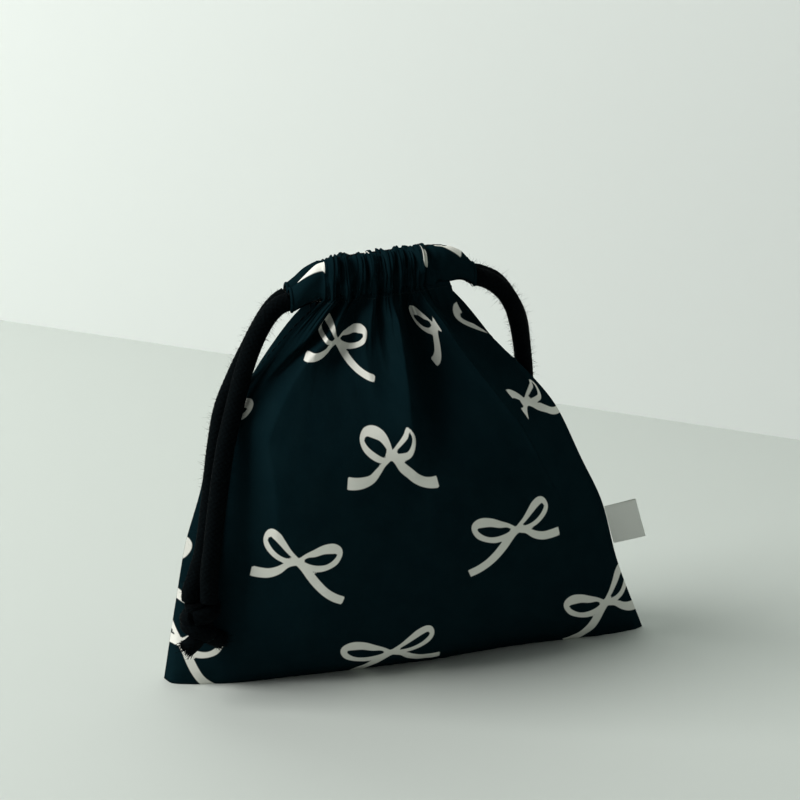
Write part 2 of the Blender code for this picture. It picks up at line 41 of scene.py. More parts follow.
# sizes of the pouch in metres, close to those of its solids
halfWidth = 0.095
stitchHeight = 0.1458
clothThickness = 0.0009
halfSeam = 0.00015
footDepth = 0.0105
neckLean = -0.012
slitHeight = 0.118
slitOpening = 0.0035
shoulderDrop = 0.008
sleeveReach = 0.033
neckDepth = 0.0021
strandSpread = 0.0039
gatherHeight = 0.0028
taperStart = 0.0205
leftDroop = 0.0036
rightDroop = 0.0082
neckTilt = 0.085
drawStart, drawRate, neckSqueeze = 0.55, 1.5, 0.04
bightStart, bightLength = 0.0105, 0.0065
squareness = (2.3, 2.8)
footBulge = 0.3
foldSpread, foldFade, foldTuck = 1.8, 0.45, 0.15
cordDiameter = 0.0065
laneStep = 0.0050
channelRadius = 0.0035
stitchAngle = 50
lowerLane = stitchHeight + channelRadius * math.sin(math.radians(stitchAngle))
upperLane = lowerLane + laneStep
neckShare = 0.90
widthCurve = [(0, 1), (0.21, 0.875), (0.37, 0.795), (0.5, 0.69), (0.65, 0.575), (0.79, 0.385),
              (0.87, 0.255), (0.94, 0.13), (1, 0)]
leanCurve = [(0, 0), (0.22, 0.3), (0.4, 0.4), (0.65, 0.75), (0.85, 0.95), (1, 1)]
swellCurve = [(0, 0), (0.05, 0.30), (0.11, 0.52), (0.28, 0.86), (0.5, 1), (0.75, 0.86), (0.9, 0.55),
              (1, 0.3)]


# ---- camera
def setCamera():
    azimuth, elevation, distance = math.radians(-13.47), math.radians(17), 0.546
    aim = Vector((-0.00468, 0, 0.10176))
    viewAngle = 30
    back = Vector((math.sin(azimuth) * math.cos(elevation), -math.cos(azimuth) * math.cos(elevation),
                   math.sin(elevation)))
    data = bpy.data.cameras.new("camera")
    data.sensor_width = 36
    data.lens = data.sensor_width / 2 / math.tan(math.radians(viewAngle / 2))
    camera = bpy.data.objects.new("camera", data)
    scene.collection.objects.link(camera)
    camera.location = aim + back * distance
    camera.rotation_euler = back.to_track_quat("Z", "Y").to_euler()
    scene.camera = camera


setCamera()


# ---- shaders
class Shade:
    # one output of a shader node; sums of these add Math nodes
    def __init__(self, tree, socket=None):
        self.tree = tree
        self.socket = socket

    def node(self, kind, settings=(), values=(), output=0):
        made = self.tree.nodes.new(kind)
        for name, value in dict(settings).items():
            setattr(made, name, value)
        for name, value in dict(values).items():
            if isinstance(value, Shade):
                self.tree.links.new(value.socket, made.inputs[name])
            else:
                made.inputs[name].default_value = value
        return Shade(self.tree, made.outputs[output])

    def maths(self, operation, *terms):
        return self.node("ShaderNodeMath", {"operation": operation}, dict(enumerate(terms)))

    def __add__(self, other):
        return self.maths("ADD", self, other)

    def __radd__(self, other):
        return self.maths("ADD", other, self)

    def __sub__(self, other):
        return self.maths("SUBTRACT", self, other)

    def __rsub__(self, other):
        return self.maths("SUBTRACT", other, self)

    def __mul__(self, other):
        return self.maths("MULTIPLY", self, other)

    def __rmul__(self, other):
        return self.maths("MULTIPLY", other, self)

    def sine(self):
        return self.maths("SINE", self)

    def clamped(self):
        return self.node("ShaderNodeClamp", (), {"Value": self})

    def attribute(self, name, output="Fac"):
        return self.node("ShaderNodeAttribute", {"attribute_name": name}, (), output)

    def blend(self, low, high):
        # low where this value is 0, high where it is 1; both are colours
        return self.node("ShaderNodeMix", {"data_type": "RGBA"}, {0: self, 6: low, 7: high}, 2)

    def cells(self, vector, scale, detail=2, roughness=0.5):
        return self.node("ShaderNodeTexNoise", (), {
            "Vector": vector, "Scale": scale, "Detail": detail, "Roughness": roughness})

    def split(self, vector):
        return [self.node("ShaderNodeSeparateXYZ", (), {0: vector}, n) for n in range(3)]

    def bump(self, height, distance):
        return self.node("ShaderNodeBump", (), {"Height": height, "Distance": distance, "Strength": 0.8})


def makeMaterial(name, values):
    made = bpy.data.materials.new(name)
    made.use_nodes = True
    shader = made.node_tree.nodes["Principled BSDF"]
    for key, value in values.items():
        shader.inputs[key].default_value = value
    return made, shader, Shade(made.node_tree)


def feed(shade, shader, key, value):
    shade.tree.links.new(value.socket, shader.inputs[key])


navy, navyWorn, cream = (0.0018, 0.0081, 0.0109, 1), (0.0040, 0.0132, 0.0166, 1), (0.74, 0.74, 0.68, 1)
# the cord's two colours: painted shade for the valleys between the yarns and painted light for the yarns'
# crests
cordValleyShade, cordCrestLight = (0.0002, 0.0006, 0.0008, 1), (0.0013, 0.0030, 0.0038, 1)
inkSharpness = 3500        # per metre: the print's edge is about 0.3 mm wide
clothThread, tapeThread = 0.00062, 0.0005


def weave(across, up, spacing):
    turn = math.tau / spacing
    return (across * turn).sine() * (up * turn).sine()


def clothMaterial():
    made, shader, shade = makeMaterial("printed_cotton", {
        "Roughness": 0.85, "Specular IOR Level": 0})
    place = shade.attribute("cloth", "Vector")
    across, up, _ = shade.split(place)
    ink = (0.5 - shade.attribute("ink") * inkSharpness).clamped()
    cloudy = shade.cells(place, 90, 3)
    slub = shade.cells(place, 1400, 2)
    ground = cloudy.blend(navy, navyWorn)
    feed(shade, shader, "Base Color", ink.blend(ground, cream))
    height = weave(across, up, clothThread) * 0.35 + slub * 1.1
    feed(shade, shader, "Normal", shade.bump(height, 0.00006))
    return made


def cordMaterial():
    made, shader, shade = makeMaterial("cotton_cord", {
        "Roughness": 0.95, "Specular IOR Level": 0.04})
    # the yarns' height picks the colour, painting shade into the valleys between the yarns and light onto
    # their crests
    feed(shade, shader, "Base Color", shade.attribute("relief").clamped().blend(cordValleyShade, cordCrestLight))
    return made


def tapeMaterial():
    made, shader, shade = makeMaterial("label_tape", {"Roughness": 0.8, "Base Color": (0.88, 0.89, 0.84, 1)})
    place = shade.attribute("cloth", "Vector")
    across, up, _ = shade.split(place)
    feed(shade, shader, "Normal", shade.bump(weave(across, up, tapeThread), 0.00005))
    return made


def threadMaterial():
    made, _, _ = makeMaterial("sewing_thread", {
        "Roughness": 0.8, "Specular IOR Level": 0.1, "Base Color": (0.0030, 0.0110, 0.0140, 1)})
    return made


printedCotton = clothMaterial()
cottonCord = cordMaterial()
labelTape = tapeMaterial()
thread = threadMaterial()


# ---- helpers
def meshPiece(name, points, faces, material, attributes=()):
    data = bpy.data.meshes.new(name)
    data.from_pydata([tuple(p) for p in points], [], [tuple(int(n) for n in face) for face in faces])
    for key, kind, values in attributes:
        layer = data.attributes.new(key, kind, "POINT")
        layer.data.foreach_set("vector" if kind == "FLOAT_VECTOR" else "value",
                               np.asarray(values, np.float32).ravel())
    data.materials.append(material)
    data.shade_smooth()
    piece = bpy.data.objects.new(name, data)
    scene.collection.objects.link(piece)
    return piece


def dress(piece, slot, *nodes):
    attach(piece, "root")
    if nodes:
        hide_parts(*nodes)


def smoothRoute(route, step):
    # evenly spaced points on a smooth curve through the chosen ones
    points = np.asarray(route, float)
    ends = np.vstack([2 * points[0] - points[1], points, 2 * points[-1] - points[-2]])
    fine = []
    for a, b, c, d in zip(ends, ends[1:], ends[2:], ends[3:]):
        for s in np.linspace(0, 1, 24, endpoint=False):
            fine.append(0.5 * (2 * b + (c - a) * s + (2 * a - 5 * b + 4 * c - d) * s * s
                               + (3 * b - a - 3 * c + d) * s ** 3))
    fine = np.array(fine + [points[-1]])
    lengths = np.concatenate([[0], np.cumsum(np.linalg.norm(np.diff(fine, axis=0), axis=1))])
    count = max(int(round(lengths[-1] / step)), 4) + 1
    places = np.linspace(0, lengths[-1], count)
    return np.stack([np.interp(places, lengths, fine[:, k]) for k in range(3)], axis=1), lengths[-1]


def frames(path):
    # a side and an over direction at each point, turned as little as possible along the path
    tangents = np.gradient(path, axis=0)
    tangents /= np.linalg.norm(tangents, axis=1)[:, None]
    side = np.cross(tangents[0], (0.13, 0.97, 0.21))
    side /= np.linalg.norm(side)
    sides = []
    for tangent in tangents:
        side = side - tangent * side.dot(tangent)
        side /= np.linalg.norm(side)
        sides.append(side)
    sides = np.array(sides)
    return tangents, sides, np.cross(tangents, sides)


# ---- cords
braid = {
    "rise": 0.0062,        # along the cord for one turn of a yarn's slant
    "yarns": 9,
    "valley": 0.94,        # the tube's radius between the yarns, as a share of the cord's
    "relief": 0.085,
}
fibre = {
    "root": 0.93,
    "halfWidth": 0.00004,
    "kink": (0.25, 0.55),
    "tip": (0.2, 0.6),
}
cord = {
    "step": 0.00036,
    "around": 44,
    "fibresPerMetre": 16000,
    "fibreLength": 0.0018,
    "hiddenRadius": 0.0027,
    "hiddenAround": 20,
}
leftFront = [
    (-0.0788, -0.0168, 0.0368), (-0.0786, -0.0168, 0.0400), (-0.0783, -0.0170, 0.0480),
    (-0.0769, -0.0170, 0.0570), (-0.0753, -0.0165, 0.0680), (-0.0730, -0.0154, 0.0820),
    (-0.0704, -0.0141, 0.0945), (-0.0668, -0.0108, 0.1060), (-0.0629, -0.0080, 0.1180),
    (-0.0590, -0.0072, 0.1280), (-0.0545, -0.0058, 0.1357), (-0.0496, -0.0042, 0.1403),
]
leftBack = [
    (-0.0850, -0.0136, 0.0368), (-0.0848, -0.0136, 0.0400), (-0.0824, -0.0114, 0.0450),
    (-0.0793, -0.0096, 0.0540), (-0.0770, -0.0082, 0.0660), (-0.0749, -0.0069, 0.0800),
    (-0.0730, -0.0063, 0.0920), (-0.0699, -0.0037, 0.1045), (-0.0642, -0.0006, 0.1160),
    (-0.0586, 0.0010, 0.1260), (-0.0536, 0.0024, 0.1342), (-0.0490, 0.0036, 0.1396),
]
rightFront = [
    (0.0530, 0.0255, 0.0368), (0.0530, 0.0255, 0.0400), (0.0524, 0.0226, 0.0480),
    (0.0515, 0.0200, 0.0600), (0.0505, 0.0180, 0.0730), (0.0493, 0.0155, 0.0850),
    (0.0478, 0.0127, 0.0960), (0.0461, 0.0100, 0.1070), (0.0440, 0.0070, 0.1170),
    (0.0412, 0.0038, 0.1270), (0.0377, 0.0006, 0.1352), (0.0327, -0.0020, 0.1417),
    (0.0267, -0.0034, 0.1459),
]
rightBack = [
    (0.0466, 0.0255, 0.0368), (0.0466, 0.0255, 0.0400), (0.0460, 0.0234, 0.0480),
    (0.0452, 0.0233, 0.0580), (0.0446, 0.0223, 0.0690), (0.0462, 0.0206, 0.0800),
    (0.0468, 0.0180, 0.0930), (0.0472, 0.0154, 0.1060), (0.0462, 0.0142, 0.1170),
    (0.0436, 0.0122, 0.1280), (0.0382, 0.0094, 0.1370), (0.0328, 0.0068, 0.1431),
    (0.0264, 0.0050, 0.1464),
]
runSteps = 6


def ease(x):
    x = np.clip(x, 0, 1)
    return x * x * (3 - 2 * x)


def mix(a, b, share):
    return a + (b - a) * share


def casingCentre(x):
    share = np.minimum(np.abs(x) / sleeveReach, 1)
    return strandSpread + neckDepth * np.sqrt(1 - share * share)


def taper(x):
    return np.maximum(np.abs(x) - taperStart, 0) / (sleeveReach - taperStart)


def lanes(x):
    # heights of the lower and the upper cord lane at x
    out = taper(x)
    low = np.where(x < 0, lowerLane, mix(lowerLane, upperLane, ease(out)))
    high = np.where(x < 0, mix(upperLane, lowerLane, ease(out)), upperLane)
    lift = neckTilt * x - np.where(x < 0, leftDroop, rightDroop) * out * out
    return low + lift, high + lift


def casingRun(mouth, firstSide):
    # a cord's way in at one mouth (-1 left, 1 right), round inside the far sleeve, and out at the same mouth
    turnStart = -mouth * bightStart
    lane = 0 if mouth < 0 else 1
    oneSide = []
    for n in range(runSteps + 1):
        x = mix(mouth * sleeveReach, turnStart, n / runSteps)
        oneSide.append((x, casingCentre(x)))
    for degrees in (30, 60):
        a = math.radians(degrees)
        oneSide.append((turnStart - mouth * bightLength * math.sin(a), casingCentre(turnStart) * math.cos(a)))
    end = (turnStart - mouth * bightLength, 0)
    run = []
    for side, places in ((firstSide, oneSide), (0, [end]), (-firstSide, oneSide[::-1])):
        run += [(neckLean + x, side * y, float(lanes(x)[lane])) for x, y in places]
    return run


leftRoute = leftFront + casingRun(-1, -1) + leftBack[::-1]
rightRoute = rightBack + casingRun(1, 1) + rightFront[::-1]


def braidTube(name, path, radius, around, startTurn=0.0):
    # tube of braided yarns along evenly spaced points, with closed ends
    count = len(path)
    radii = np.broadcast_to(np.asarray(radius, float), (count,))
    _, sides, overs = frames(path)
    along = np.concatenate([[0], np.cumsum(np.linalg.norm(np.diff(path, axis=0), axis=1))])
    turn = np.arange(around) * math.tau / around
    phase = along[:, None] * math.tau / braid["rise"] * braid["yarns"] / 3
    rising = braid["yarns"] * turn[None, :] + phase + startTurn
    falling = braid["yarns"] * turn[None, :] - phase - startTurn
    over = np.sin(rising / 2) * np.sin(falling / 2) > 0
    yarn = np.where(over, np.abs(np.cos(rising / 2)), np.abs(np.cos(falling / 2)))
    grown = radii[:, None] * (braid["valley"] + braid["relief"] * yarn)
    spokes = sides[:, None, :] * np.cos(turn)[None, :, None] + overs[:, None, :] * np.sin(turn)[None, :, None]
    points = (path[:, None, :] + spokes * grown[:, :, None]).reshape(-1, 3)
    faces = []
    for k in range(count - 1):
        for n in range(around):
            m = (n + 1) % around
            faces.append((k * around + n, k * around + m, (k + 1) * around + m, (k + 1) * around + n))
    faces.append(list(range(around))[::-1])
    faces.append([(count - 1) * around + n for n in range(around)])
    # the yarns' height is stored as 'relief'; the cord's colour turns it into painted shade in the valleys
    # and painted light on the crests
    return meshPiece(name, points, faces, cottonCord, [("relief", "FLOAT", yarn.ravel())])


def fuzz(name, path, radius, perMetre, length, seed):
    # fine loose fibres standing off a cord
    rng = np.random.default_rng(seed)
    count = int(perMetre * np.linalg.norm(np.diff(path, axis=0), axis=1).sum())
    _, sides, overs = frames(path)
    points, faces = [], []
    for _ in range(count):
        k = rng.integers(0, len(path) - 1)
        turn = rng.uniform(0, math.tau)
        out = sides[k] * math.cos(turn) + overs[k] * math.sin(turn)
        start = path[k] + out * radius * fibre["root"]
        lean = rng.normal(0, 1, 3)
        middle = start + (out + lean * 0.6) * length * rng.uniform(*fibre["kink"])
        end = middle + (out * 0.4 + lean * 0.8 + rng.normal(0, 0.5, 3)) * length * rng.uniform(*fibre["tip"])
        wide = np.cross(out, lean)
        wide = wide / np.linalg.norm(wide) * fibre["halfWidth"]
        base = len(points)
        points += [start - wide, start + wide, middle - wide * 0.8, middle + wide * 0.8, end]
        faces += [(base, base + 1, base + 3, base + 2), (base + 2, base + 3, base + 4)]
    # loose fibres get a fixed tone near the lit end of the cord's painted scale from valley shade to crest
    # light
    return meshPiece(name, points, faces, cottonCord, [("relief", "FLOAT", np.full(len(points), 0.8))])


def nearest(path, place):
    return int(np.argmin(np.linalg.norm(path - np.asarray(place), axis=1)))


def buildCord(name, route, firstMouth, lastMouth, node, seed):
    path, _ = smoothRoute(route, cord["step"])
    first, last = nearest(path, firstMouth), nearest(path, lastMouth)
    parts = ((f"{name}_strand_a", path[:first + 1][::-1]), (f"{name}_strand_b", path[last:]))
    for n, (word, part) in enumerate(parts):
        strand = braidTube(word, part, cordDiameter / 2, cord["around"])
        fibres = fuzz(f"{word}_fibres", part[:-2], cordDiameter / 2, cord["fibresPerMetre"],
                      cord["fibreLength"], seed + n)
        dress(strand, "cotton_cord", node)
        dress(fibres, "cotton_cord")
    run = braidTube(f"{name}_casing_run", path[first:last + 1:2], cord["hiddenRadius"], cord["hiddenAround"])
    dress(run, "cotton_cord", node)


for side, route, mouth, seed in (("left", leftRoute, -1, 3), ("right", rightRoute, 1, 5)):
    hidden = casingRun(mouth, mouth)
    buildCord(f"{side}_cord", route, hidden[0], hidden[-1], f"{side}_drawcord", seed)
print("cords made")


# ---- knots
knot = {
    "below": 0.0095,           # from the strands' ends down to the middle of the knot
    "step": 0.0004,
    "around": 40,
    "wrap": {"turn": -2.4, "across": 0.0046, "deep": 0.0033, "radius": 0.0031},
    "turn": {"turn": 2.2, "across": 0.0036, "deep": 0.0033, "radius": 0.0030},
    "lap": math.tau * 0.98,
    "lapPoints": 14,
    "core": [(-0.0022, 0, 0.0092), (-0.0014, 0, 0.0040), (0.0006, -0.0006, -0.0010),
             (-0.0006, -0.0004, -0.0052)],
    "coreRadius": 0.0036,
    "tail": [(0.0008, -0.0012, -0.0030), (0.0032, -0.0018, -0.0048), (0.0052, -0.0016, -0.0062),
             (0.0066, -0.0012, -0.0072)],
    "tailRadius": 0.0028,
    "tailFlare": 1.12,
    "frayRadius": 0.0030,
    "fibresPerMetre": 26000,
    "fibreLength": 0.0015,
}
loose = {
    "yarns": 220,
    "sunk": 0.0008,
    "long": (0.0010, 0.0026),
    "spread": 0.35,
    "scatter": 0.14,
    "bend": 0.35,
    "profile": ((0, 0.00016), (0.5, 0.00013), (1, 0.00005)),    # half width of a yarn end along its length
}


def buildKnot(name, route, turn, seed):
    # both strands in one overhand knot: two slanting wraps, and two tails that fray
    top = (Vector(route[0]) + Vector(route[-1])) / 2
    centre = np.array(top - Vector((0, 0, knot["below"])))
    spin = np.array([[math.cos(turn), -math.sin(turn), 0], [math.sin(turn), math.cos(turn), 0], [0, 0, 1]])
    rng = np.random.default_rng(seed)

    def curve(points):
        return smoothRoute([centre + spin @ np.array(p) for p in points], knot["step"])[0]

    def lap(ring):
        return np.linspace(ring["turn"], ring["turn"] + knot["lap"], knot["lapPoints"])

    wrap, under, around = knot["wrap"], knot["turn"], knot["around"]
    upper = [(math.cos(a) * wrap["across"], math.sin(a) * wrap["deep"],
              0.0050 + 0.0014 * math.cos(a) + 0.0006 * math.sin(2 * a)) for a in lap(wrap)]
    lower = [(math.cos(a) * under["across"] - 0.0010, math.sin(a) * under["deep"],
              -0.0014 - 0.0022 * math.cos(a)) for a in lap(under)]
    bodies = [braidTube(f"{name}_wrap", curve(upper), wrap["radius"], around),
              braidTube(f"{name}_turn", curve(lower), under["radius"], around, 0.8),
              braidTube(f"{name}_core", curve(knot["core"]), knot["coreRadius"], around, 0.3)]
    tails = []
    for sign, word in ((-1, "left"), (1, "right")):
        path = curve([(sign * x, y, z) for x, y, z in knot["tail"]])
        flare = np.linspace(1, knot["tailFlare"], len(path))
        bodies.append(braidTube(f"{name}_{word}_tail", path, knot["tailRadius"] * flare, around, 0.5))
        tails.append(fray(f"{name}_{word}_fray", path, knot["frayRadius"], rng))
    bodies[0].name = name
    hairs = [fuzz(f"{name}_fibres_{n}", curve(points), wrap["radius"], knot["fibresPerMetre"],
                  knot["fibreLength"], seed + n) for n, points in enumerate((upper, lower, knot["core"]))]
    for piece in bodies + tails + hairs:
        dress(piece, "cotton_cord")
    return bodies[0]


def fray(name, path, radius, rng):
    # loose yarn ends at the cut of a cord
    tangents, sides, overs = frames(path)
    end, ahead, side, over = path[-1], tangents[-1], sides[-1], overs[-1]
    points, faces = [], []
    for _ in range(loose["yarns"]):
        turn = rng.uniform(0, math.tau)
        out = side * math.cos(turn) + over * math.sin(turn)
        reach = radius * math.sqrt(rng.uniform(0.02, 1))
        start = end - ahead * loose["sunk"] + out * reach
        aim = ahead + out * reach / radius * loose["spread"] + rng.normal(0, loose["scatter"], 3)
        long = rng.uniform(*loose["long"])
        bend = rng.normal(0, loose["bend"], 3)
        wide = np.cross(aim, bend)
        wide /= np.linalg.norm(wide)
        across = np.cross(aim, wide)
        across /= np.linalg.norm(across)
        base = len(points)
        for share, width in loose["profile"]:
            place = start + aim * long * share + bend * long * share * share
            points += [place + wide * width, place - wide * width * 0.5 + across * width,
                       place - wide * width * 0.5 - across * width]
        for ring in (0, 3):
            for n in range(3):
                m = (n + 1) % 3
                faces.append((base + ring + n, base + ring + m, base + ring + 3 + m, base + ring + 3 + n))
    # the yarn ends get a fixed tone towards the lit end of the cord's painted scale from valley shade to
    # crest light
    return meshPiece(name, points, faces, cottonCord, [("relief", "FLOAT", np.full(len(points), 0.7))])


leftKnot = buildKnot("left_knot", leftRoute, 0.35, 11)
rightKnot = buildKnot("right_knot", rightRoute, -0.6, 29)
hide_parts("left_cord_knot")
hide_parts("right_cord_knot")
print("knots made")


# ---- cloth
front = {
    "side": -1,
    "swell": 0.033,
    "gathers": (-0.022, 0.015),
    "joined": (-0.0225, 0.024),
    "crests": [-0.0184, -0.0138, -0.0095, -0.0046, 0.0004, 0.0050, 0.0082, 0.0114],
    "heights": [0.9, 1.0, 0.85, 1.1, 1.0, 0.8, 0.95, 0.8],
    "runs": [0.10, 0.06, 0.05, 0.12, 0.16, 0.07, 0.05, 0.12],
    "folds": [
        {"line": [(0.54, -0.01), (0.72, 0.04), (0.80, 0.10), (0.89, 0.16), (1, 0.18)],
         "height": 0.0088, "left": 0.010, "right": 0.0044, "power": 1.3},
        {"line": [(0.58, 0.13), (0.72, 0.19), (0.80, 0.27), (0.89, 0.36), (1, 0.40)],
         "height": -0.0078, "left": 0.0060, "right": 0.013, "power": 1.4},
        {"line": [(0.24, 0.80), (0.47, 0.73), (0.62, 0.68), (0.76, 0.67), (0.90, 0.67), (1, 0.63)],
         "height": 0.0082, "left": 0.022, "right": 0.0100, "power": 1.0},
        {"line": [(0.30, 0.782), (0.47, 0.73), (0.62, 0.68), (0.76, 0.67), (0.90, 0.67), (1, 0.63)],
         "height": 0.0044, "left": 0.0052, "right": 0.0026, "power": 0.9},
        {"line": [(0.40, 0.88), (0.60, 0.83), (0.80, 0.83), (1, 0.80)],
         "height": -0.0032, "left": 0.007, "right": 0.007, "power": 1.6},
        {"line": [(0.28, -0.62), (0.42, -0.65), (0.55, -0.69), (0.68, -0.75), (0.77, -0.725), (0.86, -0.64),
                  (0.92, -0.52), (1, -0.46)],
         "height": 0.0062, "left": 0.0062, "right": 0.017, "power": 1.15},
        {"line": [(0.68, -0.86), (0.77, -0.82), (0.86, -0.73), (0.92, -0.61), (1, -0.57)],
         "height": -0.0052, "left": 0.006, "right": 0.006, "power": 1.5},
        {"line": [(0.60, -0.93), (0.75, -0.90), (0.87, -0.80), (0.93, -0.70), (1, -0.66)],
         "height": 0.0036, "left": 0.006, "right": 0.006, "power": 1.3},
        {"line": [(0.78, -0.38), (0.90, -0.35), (1, -0.30)],
         "height": -0.0042, "left": 0.007, "right": 0.009, "power": 1.5},
        {"line": [(0.72, -0.13), (0.88, -0.16), (1, -0.12)],
         "height": 0.0034, "left": 0.009, "right": 0.008, "power": 1.4},
    ],
    "seed": 2.0,
    "creased": 1.0,
    "drop": 0,
}
back = {
    "side": 1,
    "swell": 0.028,
    "gathers": (-0.020, 0.019),
    "joined": (-0.0225, 0.024),
    "crests": [-0.0172, -0.0122, -0.0078, -0.0028, 0.0020, 0.0068, 0.0112, 0.0160],
    "heights": [0.6, 0.8, 0.7, 0.85, 0.65, 0.8, 0.7, 0.6],
    "runs": [0.08, 0.14, 0.06, 0.18, 0.08, 0.05, 0.16, 0.07],
    "folds": [
        {"line": [(0.42, -0.37), (0.70, -0.33), (1, -0.30)],
         "height": 0.0052, "left": 0.010, "right": 0.017, "power": 1.3},
        {"line": [(0.55, 0.04), (1, 0.08)],
         "height": -0.0044, "left": 0.010, "right": 0.011, "power": 1.6},
        {"line": [(0.38, 0.56), (0.70, 0.47), (1, 0.40)],
         "height": 0.0056, "left": 0.018, "right": 0.010, "power": 1.1},
        {"line": [(0.48, -0.71), (1, -0.66)],
         "height": 0.0034, "left": 0.011, "right": 0.011, "power": 1.4},
        {"line": [(0.40, 0.80), (0.80, 0.76), (1, 0.74)],
         "height": -0.0032, "left": 0.008, "right": 0.009, "power": 1.6},
    ],
    "seed": 9.0,
    "creased": 0.45,
    "drop": 0.0022,
}
# depth of the front's foot at each share of the half width, and how far its right slit's hem is pulled in
frontFoot = [(-1, 0), (-0.975, 0.0046), (-0.9, 0.0073), (-0.7, 0.0102), (-0.3, 0.0098), (0, 0.0088),
             (0.3, 0.0058), (0.55, 0.0041), (0.8, 0.0038), (0.95, 0.0022), (1, 0)]
hemPull = [(0.79, 0), (0.865, 0.0045), (0.905, 0.0095), (0.93, 0.0085), (1, 0)]
acrossCount = 240
wallRows = 150
footRows = 8
casingRows = 56
footLift = 0.0001
footCloth, wallCloth, casingCloth = 0.012, 0.150, 0.037    # lengths on the flat cloth
# random fields: size across, size up the cloth, and height
gatherSway = (0.0065, 0.0095, 0.0021)
gatherUneven = (0.0035, 0.008, 0.45)       # here the height is a share of the gather's own
casingRough = (0.0030, 0.0055, 0.0012)
crease = {
    "start": 0.108,            # place up the flat cloth where the drawn neck's creases begin
    "bend": (0.02, 0.025, 0.004),
    "streaks": (0.0085, 0.060, 0.0011),
    "narrow": (0.0042, 0.026, 0.0011),
    "faint": 0.00006,          # height of the streaks below the neck
    "broad": (0.032, 0.045, 0.0010),
    "small": (0.011, 0.016, 0.00025),
    "pucker": (0.007, 0.0042, 0.0006),
    "foot": (0.0045, 0.005, 0.00045),
}
# the way round the lanes: degrees, share of the rise from the low to the high lane, and cloth used so far
casingWay = [(-stitchAngle, 0, 0), (0, 0, 0.0034), (0, 1, 0.0102), (90, 1, 0.0164), (180, 1, 0.0226),
             (180, 0, 0.0294), (292, 0, 0.0370)]


def curveValue(curve, x):
    # smooth curve through the given points, without overshoot between them
    last = len(curve) - 1
    steps = [(curve[k + 1][1] - curve[k][1]) / (curve[k + 1][0] - curve[k][0]) for k in range(last)]
    slopes = [steps[0]]
    for a, b in zip(steps, steps[1:]):
        slopes.append(2 * a * b / (a + b) if a * b > 0 else 0)
    slopes.append(steps[-1])
    xs = np.array([p[0] for p in curve], float)
    ys = np.array([p[1] for p in curve], float)
    slopes = np.array(slopes)
    x = np.clip(x, xs[0], xs[-1])
    i = np.clip(np.searchsorted(xs, x, side="right") - 1, 0, last - 1)
    span = xs[i + 1] - xs[i]
    s = (x - xs[i]) / span
    return ((1 + 2 * s) * (1 - s) ** 2 * ys[i] + s * (1 - s) ** 2 * span * slopes[i]
            + s * s * (3 - 2 * s) * ys[i + 1] + s * s * (s - 1) * span * slopes[i + 1])


def neckX(panel, t):
    # place along the neck, from its middle, of the cloth at share t of the half width
    _, high = panel["gathers"]
    left, right = panel["joined"]
    gatheredEnd = neckShare - (right - high) / halfWidth
    return np.interp(t, [-1, -neckShare, gatheredEnd, neckShare, 1],
                     [-sleeveReach, left, high, right, sleeveReach])


def gatherWave(panel, x):
    # height of the gathers at x, and how far down the wall each runs
    crests = panel["crests"]
    between = [(a + b) / 2 for a, b in zip(crests, crests[1:])]
    low = [panel["gathers"][0]] + between + [panel["gathers"][1]]
    wave = np.zeros_like(x)
    run = np.full_like(x, 0.05)
    for k, crest in enumerate(crests):
        inside = (low[k] <= x) & (x <= low[k + 1])
        reach = np.where(x < crest, crest - low[k], low[k + 1] - crest)
        height = panel["heights"][k] * (1 - (np.abs(x - crest) / reach) ** 1.8)
        wave = np.where(inside, height, wave)
        run = np.where(inside, panel["runs"][k], run)
    return wave, run


def foldHeight(panel, t, v):
    # how far the wall's folds push it outwards
    total = np.zeros_like(t)
    for fold in panel["folds"]:
        line = fold["line"]
        foot, top = line[0][0], line[-1][0]
        up = (v - foot) / (top - foot)
        away = (t - curveValue(line, v)) * halfWidth
        width = np.where(away < 0, fold["left"], fold["right"]) * mix(foldSpread, 1, np.clip(up, 0, 1))
        strength = ease(up / foldFade) * ease((1 - up) / foldTuck)
        total += fold["height"] * strength * np.exp(-(np.abs(away) / width) ** fold["power"])
    return total


def roughness(u, w, seed):
    # smooth random field, about -1 to 1
    values = [noise.noise(Vector((a, b, seed))) for a, b in zip(np.ravel(u), np.ravel(w))]
    return np.array(values).reshape(np.shape(u))


def creases(panel, u, w):
    # the cloth's own small creases, over the flat cloth
    def field(across, key, seedStep):
        return roughness(across / crease[key][0], w / crease[key][1], panel["seed"] + seedStep)

    start = crease["start"]
    drawn = ease((w - start) / (footCloth + wallCloth - start))
    bent = u + crease["bend"][2] * field(u, "bend", 7)
    streaks = 2 * np.abs(field(bent, "streaks", 0)) - 0.45
    narrow = 2 * np.abs(field(bent, "narrow", 3)) - 0.45
    relief = panel["creased"] * (streaks * (crease["faint"] + crease["streaks"][2] * drawn ** 4)
                                 + narrow * crease["narrow"][2] * drawn ** 4)
    calm = ease(w / 0.02) * (1 - drawn)
    relief += calm * (crease["broad"][2] * field(u, "broad", 1) + crease["small"][2] * field(u, "small", 2))
    reach, long, height = crease["pucker"]
    edge = (halfWidth - np.abs(u)) / reach
    pucker = roughness(np.sign(u), w / long, panel["seed"] + 4) * np.exp(-edge * edge)
    relief += height * pucker * (1 - drawn)
    long, reach, height = crease["foot"]
    near = np.exp(-(w - 0.014) ** 2 / reach ** 2)
    return relief + height * roughness(u / long, np.zeros_like(w), panel["seed"] + 5) * near


def footShape(panel, t):
    if panel["side"] < 0:
        return curveValue(frontFoot, t)
    return footDepth * (1 - np.abs(t) ** squareness[0])


def sway(panel, place, w):
    # how far the gathers wander sideways
    across, up, height = gatherSway
    return height * roughness(place / across, w / up, panel["seed"] + 9)


